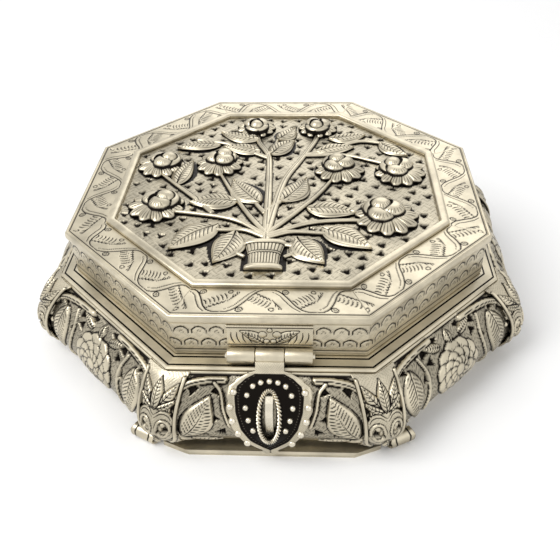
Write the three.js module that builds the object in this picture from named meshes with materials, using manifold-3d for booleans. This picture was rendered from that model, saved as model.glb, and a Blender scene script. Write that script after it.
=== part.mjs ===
// An octagonal silver box: a pierced body on a shallow base, a hinged lid worked with a
// flowering tree, and a hinged hasp that drops over a catch on the front.
// Millimetres, +Z up, front towards -Y. The origin is the centre of the base's underside.
import * as THREE from "three";
import { mergeVertices } from "three/addons/utils/BufferGeometryUtils.js";
import Module from "manifold-3d";

const wasm = await Module();
wasm.setup();

// Driving dimensions. "Half" widths run from the centre to a flat side of the octagon.
const SIDES = 8;
const STEP = (2 * Math.PI) / SIDES;
const CORNER = 1 / Math.cos(STEP / 2); // corner radius over half width
const FIT = 0.3; // gap between neighbouring pieces
const LID_HALF = 70; // outside of the lid's edge band
const LID_TOP_Z = 46;
const SEAM_Z = 30; // where the lid meets the body
const SKIRT_HALF = 69.2;
const SKIRT_WALL = 1.4;
const COLLAR_HALF = 66.8;
const COLLAR_TOP_Z = 35;
const SHEET = 1.4; // wall of the side panels
const STRAP_PROUD = 1.2;
const STRAP_ANGLE = THREE.MathUtils.degToRad(4.4);
const BASE_HALF = 76.2;
const BASE_TOP_Z = 4.9;
const LIP_HALF = 83.4;
const LIP_LONG = 34; // half the length of the lip under the front and the rear
const LIP_CORNER = 86.9; // distance of the lip's cut corners from the centre
const FOOT_R = 2.5;
const FOOT_OUT = 86.7;
const FOOT_ROOT = 84;
const FOOT_TURN = THREE.MathUtils.degToRad(5); // from the corner towards the diagonal side
const RIDGE_HALF = 56; // raised moulding round the lid's pierced panel
const RELIEF_Z = LID_TOP_Z + FIT;
const RELIEF_HIGH = 1.1;
const KNUCKLE_R = 2.3;
const PIN_R = 0.85;
const BORE_R = 1.05;
const HINGE_Y = 72.4; // both hinge axes lie this far from the centre
const HINGE_Z = 32.8;
const REAR_KNUCKLE = 8.4;
const REAR_PITCH = 8.8;
const HASP_HINGE_LONG = 25.2;
const HASP_KNUCKLE = 8.4;
const HASP_SHEET = 1.1;
const SLOT_HALF = 1.9;
const SLOT_LOW_Z = 10;
const SLOT_HIGH_Z = 26;
const CATCH_WIDE = 2.2;

// The body's outside, as half width and height, from under the rim to the bottom edge.
const BODY = [[74.2, 28], [76.5, 26.6], [80, 22.8], [82.8, 18.2], [84, 13.4], [83.6, 9.4],
  [82, 6.6], [79.5, 5.2]];

// The flower heads on the lid: centre x, y, radius and the way each one nods, in degrees.
const FLOWERS = [[-45, 14, 9, 200], [-23, 15, 9, 240], [-42, -14, 10, 215], [22, 11, 9.5, 290],
  [44, 9, 9.5, 320], [37, -20, 11, 300], [-11, 44, 8, 100], [14, 44, 8, 80]];

// The tree's leaves: base x, y, then tip x, y, and half width.
const LEAVES = [[-14, -11, -31, -12, 5.4], [-6, -12, -17, 4, 5.2], [-19, -25, -34, -39, 6],
  [-13, -29, -19, -46, 5.6], [-8, 24, -23, 28, 4.2], [-9, 34, -25, 40, 3.8], [-2, 34, 5, 44, 4],
  [-4, 22, 5, 33, 4.6], [1, -11, 10, 5, 5.2], [-37, 0, -33, 17, 3.8], [-24, 30, -41, 27, 3.8],
  [10, -15, 27, -18, 5.2], [7, -32, 16, -46, 5.6], [15, -27, 31, -38, 5.6],
  [18, 35, 33, 38, 3.8], [13, 24, 28, 28, 4], [38, 32, 48, 21, 3.6]];

// The tree's stems, each a smooth line through a few points, and its half width.
const STEMS = [
  [[-3, -34], [-3.4, -10], [-4, 10], [-5, 22], [-9, 32], [-11, 42]],
  [[-3, -30], [-1, -14], [2, 4], [8, 20], [13, 34], [14, 42]],
  [[-3, -30], [-9, -20], [-16, -6], [-22, 8]], [[-3, -31], [-14, -22], [-30, -18], [-40, -17]],
  [[-3, -30], [6, -18], [14, -6], [20, 6]], [[-3, -31], [10, -24], [24, -22], [34, -23]],
  [[-3, -32], [-10, -28], [-16, -28], [-22, -28]], [[-3, -32], [4, -29], [10, -29], [18, -30]],
  [[-5, 20], [-14, 26], [-22, 31], [-34, 34]], [[9, 22], [20, 27], [30, 33], [41, 31]],
  [[-22, -18], [-30, -8], [-37, 0], [-44, 8]], [[9, 22], [24, 22], [34, 18], [42, 14]],
  [[-5, 22], [-3, 28], [-2, 34]], [[-3.6, -16], [0, -12], [2, -9]], [[-4, -18], [-7, -13], [-9, -9]],
];
const STEM_HALF = 0.9;

// A geometry as a manifold solid, faces turned outwards.
function solid(geometry) {
  const bare = geometry.clone();
  bare.deleteAttribute("normal");
  bare.deleteAttribute("uv");
  const merged = mergeVertices(bare, 1e-4);
  const triVerts = Uint32Array.from(merged.index.array);
  const build = () => new wasm.Manifold(
    new wasm.Mesh({ numProp: 3, vertProperties: merged.attributes.position.array, triVerts }));
  const made = build();
  if (made.volume() >= 0) return made;
  for (let i = 0; i < triVerts.length; i += 3) {
    [triVerts[i + 1], triVerts[i + 2]] = [triVerts[i + 2], triVerts[i + 1]];
  }
  return build();
}

function geometryOf(manifold) {
  const mesh = manifold.getMesh();
  const geometry = new THREE.BufferGeometry();
  geometry.setAttribute("position", new THREE.BufferAttribute(mesh.vertProperties, 3));
  geometry.setIndex(new THREE.BufferAttribute(mesh.triVerts, 1));
  geometry.computeVertexNormals();
  return geometry;
}

// An octagonal ring: a closed outline of half width and height swept round the eight sides.
function octagonRing(outline) {
  const points = [...outline, outline[0]].map(([half, z]) => new THREE.Vector2(half * CORNER, z));
  return solid(new THREE.LatheGeometry(points, SIDES, STEP / 2).rotateX(Math.PI / 2));
}

function octagonPlate(half, lowZ, highZ) {
  const points = [[0, lowZ], [half, lowZ], [half, highZ], [0, highZ]];
  return solid(new THREE.LatheGeometry(
    points.map(([r, z]) => new THREE.Vector2(r * CORNER, z)), SIDES, STEP / 2).rotateX(Math.PI / 2));
}

// A flat outline in X and Y, raised from lowZ to highZ.
function raised(outline, lowZ, highZ) {
  const shape = new THREE.Shape(outline.map(([x, y]) => new THREE.Vector2(x, y)));
  return solid(new THREE.ExtrudeGeometry(shape, { depth: highZ - lowZ, bevelEnabled: false })
    .translate(0, 0, lowZ));
}

// An outline in Y and Z, run along X between two places.
function alongX(outline, fromX, toX) {
  const shape = new THREE.Shape(outline.map(([y, z]) => new THREE.Vector2(y, z)));
  const bar = new THREE.ExtrudeGeometry(shape, { depth: toX - fromX, bevelEnabled: false });
  return solid(bar.applyMatrix4(new THREE.Matrix4().set(
    0, 0, 1, fromX, 1, 0, 0, 0, 0, 1, 0, 0, 0, 0, 0, 1)));
}

function rodX(radius, fromX, toX, y, z, facets = 16) {
  const rod = new THREE.CylinderGeometry(radius, radius, toX - fromX, facets);
  return solid(rod.rotateZ(Math.PI / 2).translate((fromX + toX) / 2, y, z));
}

function box(fromX, toX, fromY, toY, fromZ, toZ) {
  return solid(new THREE.BoxGeometry(toX - fromX, toY - fromY, toZ - fromZ)
    .translate((fromX + toX) / 2, (fromY + toY) / 2, (fromZ + toZ) / 2));
}

// A tall wedge from the axis, between two directions.
function wedge(fromAngle, toAngle) {
  const far = 140;
  const edge = (angle) => [far * Math.cos(angle), far * Math.sin(angle)];
  return raised([[0, 0], edge(fromAngle), edge(toAngle)], -5, 70);
}

// A profile moved sideways by a distance, outwards where positive.
function offset(profile, distance) {
  return profile.map(([half, z], i) => {
    const [h0, z0] = profile[Math.max(i - 1, 0)];
    const [h1, z1] = profile[Math.min(i + 1, profile.length - 1)];
    const long = Math.hypot(h1 - h0, z1 - z0);
    return [half - (distance * (z1 - z0)) / long, z + (distance * (h1 - h0)) / long];
  });
}

const shell = (profile, inner, outer) => [...offset(profile, outer), ...offset(profile, inner).reverse()];

const frontAngle = -Math.PI / 2;
const sideNames = ["front", "front_right", "right", "rear_right", "rear", "rear_left", "left", "front_left"];

// The pierced side panels. Each has small three-cornered piercings between its ornament.
function sidePanel(index) {
  const middle = frontAngle + index * STEP;
  const sheet = octagonRing(shell(BODY, -SHEET, 0));
  let panel = sheet.intersect(wedge(middle - STEP / 2 + 0.002, middle + STEP / 2 - 0.002));
  const places = [[-22, 21], [22, 21], [-20, 10], [20, 10], [-11, 15.5], [11, 15.5]];
  places.forEach(([along, z]) => {
    const cutter = new THREE.CylinderGeometry(1.7, 1.7, 16, 3).translate(along, 79, z);
    panel = panel.subtract(solid(cutter.rotateZ(middle - Math.PI / 2)));
  });
  return panel;
}

// The straps that cover the corners of the body.
function cornerStrap(index) {
  const corner = frontAngle + (index + 0.5) * STEP;
  const band = octagonRing(shell(BODY, FIT, FIT + STRAP_PROUD));
  const strap = band.intersect(wedge(corner - STRAP_ANGLE, corner + STRAP_ANGLE));
  const above = octagonPlate(LID_HALF * 2, 5.6, 60);
  const high = STRAP_PROUD * 2;
  return strap.intersect(above).subtract(octagonPlate(74.9, 27.4, 27.4 + high));
}

// Four scroll feet stand beside the corners of the front and the rear.
function foot(cornerAngle) {
  const scroll = rodX(FOOT_R, -4.4, 4.4, FOOT_OUT, FOOT_R, 14);
  const tongue = box(-3.2, 3.2, FOOT_ROOT, FOOT_OUT - 1, 1.2, 3);
  const turn = new THREE.Matrix4().makeRotationZ(cornerAngle - Math.PI / 2);
  return scroll.add(tongue).transform(turn.elements);
}

const baseFloor = octagonPlate(BASE_HALF - FIT, 0, 1.2);

// The base's ring has a flat lip that shows under the front and the rear, its corners cut off.
const lipReach = octagonPlate(BASE_HALF + 2.4, -1, 10)
  .add(box(-LIP_LONG, LIP_LONG, -100, 100, -1, 10))
  .intersect(octagonPlate(LIP_CORNER, -1, 10).rotate([0, 0, 22.5]));
const baseRing = octagonRing([[BASE_HALF, 0], [LIP_HALF, 0], [LIP_HALF + 0.2, 1.2], [LIP_HALF - 0.4, 1.8],
  [BASE_HALF + 2.2, 2.2], [BASE_HALF + 1.8, BASE_TOP_Z], [BASE_HALF, BASE_TOP_Z]])
  .intersect(lipReach);
const bodyRim = octagonRing([[67.1, 28.3], [74.4, 28.3], [74.6, 28.9], [74, 29.4], [69.6, SEAM_Z],
  [67.1, SEAM_Z]]);
const collar = octagonRing([[COLLAR_HALF - 1.4, 26], [COLLAR_HALF, 26], [COLLAR_HALF, COLLAR_TOP_Z],
  [COLLAR_HALF - 1.4, COLLAR_TOP_Z]]);

// The lid's walls. The sheet on top is pierced with a field of three-cornered holes.
const lidSkirt = octagonRing([[SKIRT_HALF - SKIRT_WALL, SEAM_Z + FIT], [SKIRT_HALF, SEAM_Z + FIT],
  [SKIRT_HALF, 44.5], [SKIRT_HALF - SKIRT_WALL, 44.5]]);
const lidEdge = octagonRing([[SKIRT_HALF + FIT, 42.8], [LID_HALF, 43.2], [LID_HALF + 0.3, 44.4],
  [LID_HALF, 45.6], [SKIRT_HALF + FIT, LID_TOP_Z]]);
const lidRidge = octagonRing([[RIDGE_HALF - 1.5, RELIEF_Z], [RIDGE_HALF + 1.5, RELIEF_Z],
  [RIDGE_HALF + 0.9, 47.6], [RIDGE_HALF - 0.9, 47.6]]);

function lidTop() {
  let sheet = octagonPlate(SKIRT_HALF, LID_TOP_Z - 1.2, LID_TOP_Z);
  const places = [[-27, -44], [-8.5, -49], [9, -49], [24, -47], [-38, -30], [33, -36], [-51, -3],
    [51, -8], [-30, 2], [31, 0], [-34, 44], [30, 45], [-15, 14], [14, 12], [0, 49], [-46, 30],
    [-8, 5], [-26, -31], [24, -30], [50, -1]];
  places.forEach(([x, y], i) => {
    const hole = new THREE.CylinderGeometry(1.5, 1.5, 4, 3).rotateX(Math.PI / 2).rotateZ(i);
    sheet = sheet.subtract(solid(hole.translate(x, y, LID_TOP_Z)));
  });
  return sheet;
}

// A leaf: two arcs from base to tip.
function leaf([x0, y0, x1, y1, half]) {
  const long = Math.hypot(x1 - x0, y1 - y0);
  const [dx, dy] = [(x1 - x0) / long, (y1 - y0) / long];
  const side = (sign) => [0.08, 0.25, 0.45, 0.65, 0.85].map((t) => {
    const wide = sign * half * Math.sin(Math.PI * t ** 0.8);
    return [x0 + dx * long * t - dy * wide, y0 + dy * long * t + dx * wide];
  });
  return raised([[x0, y0], ...side(-1), [x1, y1], ...side(1).reverse()], RELIEF_Z,
    RELIEF_Z + RELIEF_HIGH);
}

function stem(points) {
  const line = new THREE.CatmullRomCurve3(points.map(([x, y]) => new THREE.Vector3(x, y, 0)));
  const count = points.length * 2;
  const spots = line.getPoints(count);
  const edge = (sign) => spots.map((spot, i) => {
    const along = line.getTangent(i / count);
    return [spot.x - sign * STEM_HALF * along.y, spot.y + sign * STEM_HALF * along.x];
  });
  return raised([...edge(-1), ...edge(1).reverse()], RELIEF_Z, RELIEF_Z + RELIEF_HIGH);
}

function flowerOutline([x, y, r], grow) {
  const lobes = 9;
  const count = lobes * 2;
  return Array.from({ length: count }, (_, i) => {
    const a = (i / count) * 2 * Math.PI;
    const reach = (i % 2 ? 0.84 : 1) * r + grow;
    return [x + reach * Math.cos(a), y + reach * Math.sin(a)];
  });
}

const insideRidge = octagonPlate(RIDGE_HALF - 1.5 - FIT, RELIEF_Z, RELIEF_Z + 20);

// A flower head: a lobed skirt of petals with a high bud set back from the way it nods.
function flower(place) {
  const [x, y, r, nods] = place;
  const nod = THREE.MathUtils.degToRad(nods);
  const petals = raised(flowerOutline(place, 0), RELIEF_Z, RELIEF_Z + 2);
  const bud = new THREE.SphereGeometry(1, 10, 8).scale(r * 0.5, r * 0.5, r * 0.42);
  const back = 0.25 * r;
  return petals.add(solid(bud.translate(x - back * Math.cos(nod), y - back * Math.sin(nod),
    RELIEF_Z + 1.6))).intersect(insideRidge);
}

const vaseOutline = [[-10, -35], [4, -35], [2.8, -39], [2, -44], [3.2, -49], [-9.2, -49],
  [-8, -44], [-8.8, -39]];
const vase = raised(vaseOutline, RELIEF_Z, RELIEF_Z + 1.8);

function tree() {
  const grown = [...STEMS.map(stem), ...LEAVES.map(leaf)];
  let whole = grown.reduce((all, next) => all.add(next));
  FLOWERS.forEach((place) => {
    whole = whole.subtract(raised(flowerOutline(place, FIT * 1.5), RELIEF_Z - 1, RELIEF_Z + 9));
  });
  whole = whole.subtract(raised([[-10.4, -34.6], [4.4, -34.6], [4.4, -50], [-10.4, -50]], 40, 50));
  whole = whole.intersect(insideRidge);
  return whole.decompose().sort((a, b) => b.volume() - a.volume())[0];
}

// Hinges. A knuckle is a short tube on a hinge axis.
function knuckle(fromX, toX, y) {
  return rodX(KNUCKLE_R, fromX, toX, y, HINGE_Z);
}
const boreAt = (y) => rodX(BORE_R, -40, 40, y, HINGE_Z, 12);
const rearBaseKnuckles = [-2, 0, 2].map((i) => i * REAR_PITCH);
const rearLidKnuckles = [-1, 1].map((i) => i * REAR_PITCH);
const rearHalf = 2 * REAR_PITCH + REAR_KNUCKLE / 2;

function rearBaseLeaf() {
  const outline = [[70.8, 30.3], [74.1, 29.8], [75, 29.1], [75.2, 28.2], [77, 27.1], [80.4, 23.2],
    [81.2, 23.8], [77.8, 27.8], [76, 29.8], [74.4, 31.2], [70.8, 31.2]];
  let made = alongX(outline, -rearHalf, rearHalf);
  rearLidKnuckles.forEach((x) => {
    made = made.subtract(rodX(KNUCKLE_R + 0.4, x - REAR_PITCH / 2, x + REAR_PITCH / 2, HINGE_Y, HINGE_Z));
  });
  rearBaseKnuckles.forEach((x) => {
    made = made.add(knuckle(x - REAR_KNUCKLE / 2, x + REAR_KNUCKLE / 2, HINGE_Y));
  });
  return made.subtract(boreAt(HINGE_Y));
}

function rearLidLeaf() {
  let made = box(-rearHalf, rearHalf, SKIRT_HALF + FIT, SKIRT_HALF + 1.2, 35.4, 42.4);
  rearLidKnuckles.forEach((x) => {
    const [from, to] = [x - REAR_KNUCKLE / 2, x + REAR_KNUCKLE / 2];
    made = made.add(knuckle(from, to, HINGE_Y));
    made = made.add(box(from, to, SKIRT_HALF + FIT, HINGE_Y - 0.8, 31.8, 35.8));
  });
  return made.subtract(boreAt(HINGE_Y));
}

// The plate on the lid that carries the hasp, with a knuckle at each end.
function haspHingePlate() {
  const half = HASP_HINGE_LONG / 2;
  let made = box(-half, half, -SKIRT_HALF - 1.2, -SKIRT_HALF - FIT, 35.4, 42.5);
  [[-half, -HASP_KNUCKLE / 2 - 0.2], [HASP_KNUCKLE / 2 + 0.2, half]].forEach(([from, to]) => {
    made = made.add(knuckle(from, to, -HINGE_Y));
    made = made.add(box(from, to, 0.8 - HINGE_Y, -SKIRT_HALF - FIT, 31.8, 35.8));
  });
  return made.subtract(boreAt(-HINGE_Y));
}

// The hasp's inner face, as distance to the front and height, from its knuckle to its tip.
const HASP = [[72.9, 31.9], [74.2, 30.9], [75.4, 29.5], [77.9, 27.2], [81.2, 23.4], [84, 18.6], [85.2, 13.6],
  [84.9, 9], [83.8, 5], [83.4, 2.4]];
const SHIELD = [[0, 2.6], [2.6, 4.8], [4.2, 7.2], [7.6, 8.8], [10.8, 12.4], [12.4, 17], [12.6, 22],
  [12.2, 26], [10.4, 28.6], [7.4, 29.9], [4.2, 30.1], [4.2, 34]];

function hasp() {
  const section = shell(HASP, 0, HASP_SHEET).map(([front, z]) => [-front, z]);
  const half = HASP_HINGE_LONG / 2 + 2;
  const outline = [...SHIELD, ...SHIELD.slice(1).reverse().map(([x, z]) => [-x, z])];
  const shield = raised(outline, -95, -60).transform(
    new THREE.Matrix4().set(1, 0, 0, 0, 0, 0, 1, 0, 0, 1, 0, 0, 0, 0, 0, 1).elements);
  let made = alongX(section, -half, half).intersect(shield);
  made = made.add(knuckle(-HASP_KNUCKLE / 2, HASP_KNUCKLE / 2, -HINGE_Y));
  made = made.subtract(boreAt(-HINGE_Y));
  return made.subtract(box(-SLOT_HALF, SLOT_HALF, -95, -70, SLOT_LOW_Z, SLOT_HIGH_Z));
}

// The catch: a fin with a ramped front, so the lifting hasp always clears it.
const CATCH = [[78.9, 24.7], [80.4, 23.2], [83.2, 18.6], [84.4, 13.6], [84.35, 11], [84.6, 10.8],
  [84.9, 12], [85, 15], [85.2, 18], [85.1, 20], [84.5, 22.2], [83.2, 24], [81.2, 25], [79.4, 25.2]];
const haspCatch = alongX(CATCH.map(([front, z]) => [-front, z]), -CATCH_WIDE / 2, CATCH_WIDE / 2);

const rearPin = rodX(PIN_R, -rearHalf - 0.6, rearHalf + 0.6, HINGE_Y, HINGE_Z, 12);
const haspPin = rodX(PIN_R, -HASP_HINGE_LONG / 2 - 0.6, HASP_HINGE_LONG / 2 + 0.6, -HINGE_Y, HINGE_Z, 12);

const silver = new THREE.MeshStandardMaterial({ color: 0xcfc6ae, roughness: 0.34, metalness: 0.9 });
const darkSilver = new THREE.MeshStandardMaterial({ color: 0x9a917c, roughness: 0.42, metalness: 0.9 });
const whiteMetal = new THREE.MeshStandardMaterial({ color: 0xb9b19a, roughness: 0.3, metalness: 0.95 });

const octagonalBox = new THREE.Group();
function piece(name, made, material) {
  const mesh = new THREE.Mesh(geometryOf(made), material);
  mesh.name = name;
  octagonalBox.add(mesh);
}

piece("base_floor", baseFloor, silver);
piece("base_ring", baseRing, silver);
sideNames.forEach((side, i) => piece(`side_panel_${side}`, sidePanel(i), silver));
sideNames.forEach((_, i) => piece(`corner_strap_${i + 1}`, cornerStrap(i), silver));
const footTurn = 0.5 * STEP + FOOT_TURN;
piece("foot_front_right", foot(frontAngle + footTurn), silver);
piece("foot_front_left", foot(frontAngle - footTurn), silver);
piece("foot_rear_right", foot(-frontAngle - footTurn), silver);
piece("foot_rear_left", foot(-frontAngle + footTurn), silver);
piece("body_rim", bodyRim, silver);
piece("inner_collar", collar, silver);
piece("hasp_catch", haspCatch, whiteMetal);
piece("rear_hinge_body_leaf", rearBaseLeaf(), silver);
piece("rear_hinge_pin", rearPin, whiteMetal);
piece("lid_top", lidTop(), silver);
piece("lid_skirt", lidSkirt, silver);
piece("lid_edge_band", lidEdge, silver);
piece("lid_ridge", lidRidge, silver);
piece("vase", vase, silver);
piece("tree_relief", tree(), silver);
FLOWERS.forEach((place, i) => piece(`flower_head_${i + 1}`, flower(place), silver));
piece("rear_hinge_lid_leaf", rearLidLeaf(), silver);
piece("hasp_hinge_plate", haspHingePlate(), silver);
piece("hasp_hinge_pin", haspPin, whiteMetal);
piece("hasp", hasp(), darkSilver);

export default octagonalBox;
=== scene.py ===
# %% [markdown]
# # An octagonal silver box
# The box is sheet silver worked from behind, chased from the front and darkened in its hollows.
# The frame gives every structural piece at its real size. This script dresses it: each sheet
# gets its relief as real geometry, and one attribute on its points says where dark oxide lies
# and where the floors of the piercings, which are pits, are painted dark as shade.

# %% Start
import math
import bpy
import numpy as np
from mathutils import Matrix, Vector


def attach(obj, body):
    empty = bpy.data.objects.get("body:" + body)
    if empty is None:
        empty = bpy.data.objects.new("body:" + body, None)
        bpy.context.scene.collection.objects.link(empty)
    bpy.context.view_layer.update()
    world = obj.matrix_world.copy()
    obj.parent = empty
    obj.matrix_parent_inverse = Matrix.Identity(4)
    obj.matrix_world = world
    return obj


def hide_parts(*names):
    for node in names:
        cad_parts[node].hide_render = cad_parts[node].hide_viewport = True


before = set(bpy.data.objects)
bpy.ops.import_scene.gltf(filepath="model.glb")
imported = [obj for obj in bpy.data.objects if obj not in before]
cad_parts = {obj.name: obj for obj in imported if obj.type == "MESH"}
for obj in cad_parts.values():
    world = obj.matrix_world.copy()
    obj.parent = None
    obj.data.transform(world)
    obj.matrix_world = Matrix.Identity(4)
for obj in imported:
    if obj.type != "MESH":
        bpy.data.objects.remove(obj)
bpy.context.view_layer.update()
MM = 0.001

# %% [markdown]
# The sizes come first, in millimetres, measured from the centre of the underside. A "half" is
# the distance from the centre to a flat side of the octagon. The profile of the body repeats
# the frame's, from under the rim down to the bottom edge.

# %% Sizes
TAN = math.tan(math.radians(22.5))
CORNER = 1 / math.cos(math.radians(22.5))
LID_TOP = 46.0
SKIRT_HALF = 69.2
RIDGE_HALF = 56.0
HINGE_Y = 72.4
HINGE_Z = 32.8
KNUCKLE_R = 2.3
BODY = [(74.2, 28), (76.5, 26.6), (80, 22.8), (82.8, 18.2), (84, 13.4), (83.6, 9.4),
        (82, 6.6), (79.5, 5.2)]
HASP = [(72.9, 31.9), (74.2, 30.9), (75.4, 29.5), (77.9, 27.2), (81.2, 23.4), (84, 18.6),
        (85.2, 13.6), (84.9, 9), (83.8, 5), (83.4, 2.4)]
SIDE_NAMES = ["front", "front_right", "right", "rear_right", "rear", "rear_left", "left",
              "front_left"]
FLOWERS = [(-45, 14, 9, 200), (-23, 15, 9, 240), (-42, -14, 10, 215), (22, 11, 9.5, 290),
           (44, 9, 9.5, 320), (37, -20, 11, 300), (-11, 44, 8, 100), (14, 44, 8, 80)]
LEAVES = [(-14, -11, -31, -12, 5.4), (-6, -12, -17, 4, 5.2), (-19, -25, -34, -39, 6),
          (-13, -29, -19, -46, 5.6), (-8, 24, -23, 28, 4.2), (-9, 34, -25, 40, 3.8),
          (-2, 34, 5, 44, 4), (-4, 22, 5, 33, 4.6), (1, -11, 10, 5, 5.2),
          (-37, 0, -33, 17, 3.8), (-24, 30, -41, 27, 3.8), (10, -15, 27, -18, 5.2),
          (7, -32, 16, -46, 5.6), (15, -27, 31, -38, 5.6), (18, 35, 33, 38, 3.8),
          (13, 24, 28, 28, 4), (38, 32, 48, 21, 3.6)]
STEMS = [[(-3, -34), (-3.4, -10), (-4, 10), (-5, 22), (-9, 32), (-11, 42)],
         [(-3, -30), (-1, -14), (2, 4), (8, 20), (13, 34), (14, 42)],
         [(-3, -30), (-9, -20), (-16, -6), (-22, 8)],
         [(-3, -31), (-14, -22), (-30, -18), (-40, -17)],
         [(-3, -30), (6, -18), (14, -6), (20, 6)], [(-3, -31), (10, -24), (24, -22), (34, -23)],
         [(-3, -32), (-10, -28), (-16, -28), (-22, -28)],
         [(-3, -32), (4, -29), (10, -29), (18, -30)],
         [(-5, 20), (-14, 26), (-22, 31), (-34, 34)], [(9, 22), (20, 27), (30, 33), (41, 31)],
         [(-22, -18), (-30, -8), (-37, 0), (-44, 8)], [(9, 22), (24, 22), (34, 18), (42, 14)],
         [(-5, 22), (-3, 28), (-2, 34)], [(-3.6, -16), (0, -12), (2, -9)],
         [(-4, -18), (-7, -13), (-9, -9)]]

# %% [markdown]
# The camera stands a little above and in front of the box, as in the photograph. Its place and
# lens were worked out from the corners of the lid and of the shoulder under it.

# %% Camera
elevation, turn, roll = math.radians(39.03), math.radians(3.2), math.radians(-1.47)
back = Vector((math.sin(turn) * math.cos(elevation), -math.cos(turn) * math.cos(elevation),
               math.sin(elevation)))
right = (-back).cross(Vector((0, 0, 1))).normalized()
over = right.cross(-back)
rolled_right = math.cos(roll) * right + math.sin(roll) * over
rolled_over = -math.sin(roll) * right + math.cos(roll) * over
camera_data = bpy.data.cameras.new("camera")
camera = bpy.data.objects.new("camera", camera_data)
bpy.context.scene.collection.objects.link(camera)
camera_data.lens = 45.8
camera_data.sensor_width = 36
camera_data.clip_start = 0.01
place = Vector((11.78, -220.31, 181.55)) * MM
camera.matrix_world = Matrix.Translation(place) @ Matrix(
    (rolled_right, rolled_over, back)).transposed().to_4x4()
bpy.context.scene.camera = camera
bpy.context.scene.view_settings.view_transform = "Standard"
print("camera at", [round(v, 4) for v in place])

# %% [markdown]
# The studio is a white floor, a white world and three soft lamps. The world is white to the
# camera and in reflections, and dimmer as a light, so that the silver shows a bright room
# without being washed out.

# %% Studio
bpy.ops.mesh.primitive_plane_add(size=1.6, location=(0, 0, 0))
floor = bpy.context.object
floor.name = "floor"
floor_material = bpy.data.materials.new("white_floor")
floor_material.use_nodes = True
floor_material.node_tree.nodes["Principled BSDF"].inputs["Base Color"].default_value = (
    0.99, 0.99, 0.99, 1)
floor_material.node_tree.nodes["Principled BSDF"].inputs["Roughness"].default_value = 0.9
floor.data.materials.append(floor_material)

world = bpy.data.worlds.new("studio")
bpy.context.scene.world = world
world.use_nodes = True
nodes, links = world.node_tree.nodes, world.node_tree.links
background = nodes["Background"]
background.inputs["Color"].default_value = (1, 1, 1, 1)
path = nodes.new("ShaderNodeLightPath")
seen = nodes.new("ShaderNodeMath")
seen.operation = "ADD"
seen.use_clamp = True
seen_or_through = nodes.new("ShaderNodeMath")
seen_or_through.operation = "ADD"
seen_or_through.use_clamp = True
strength = nodes.new("ShaderNodeMapRange")
strength.inputs["To Min"].default_value = 0.55
strength.inputs["To Max"].default_value = 1.0
links.new(path.outputs["Is Camera Ray"], seen.inputs[0])
links.new(path.outputs["Is Glossy Ray"], seen.inputs[1])
links.new(seen.outputs[0], seen_or_through.inputs[0])
links.new(path.outputs["Is Transmission Ray"], seen_or_through.inputs[1])
links.new(seen_or_through.outputs[0], strength.inputs["Value"])
links.new(strength.outputs["Result"], background.inputs["Strength"])


def lamp(name, spot, size, power, target=(0, 0, 0.02)):
    data = bpy.data.lights.new(name, "AREA")
    data.size = size
    data.energy = power
    made = bpy.data.objects.new(name, data)
    bpy.context.scene.collection.objects.link(made)
    made.location = spot
    made.rotation_euler = (Vector(target) - Vector(spot)).to_track_quat("-Z", "Y").to_euler()


lamp("key", (-0.45, -0.25, 0.7), 0.5, 4.6)
lamp("fill", (0.6, -0.5, 0.5), 0.8, 1.2)
lamp("rim", (0.1, 0.7, 0.5), 0.6, 1.2)

# %% [markdown]
# The whole box is silver, in a few versions. On the worked sheets bright metal and dark oxide are
# mixed by an attribute of oxide and shade, which each sheet carries on its points; the floors of
# the piercings, which are pits, take the same dark as painted shade. Plain parts have specks of
# oxide, and the rim two thin dark lines of painted shade along its edges, under the lid's skirt. A
# broad noise is tarnish, and a fine one is the marks of hammer and burnisher.

# %% Silver


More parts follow.
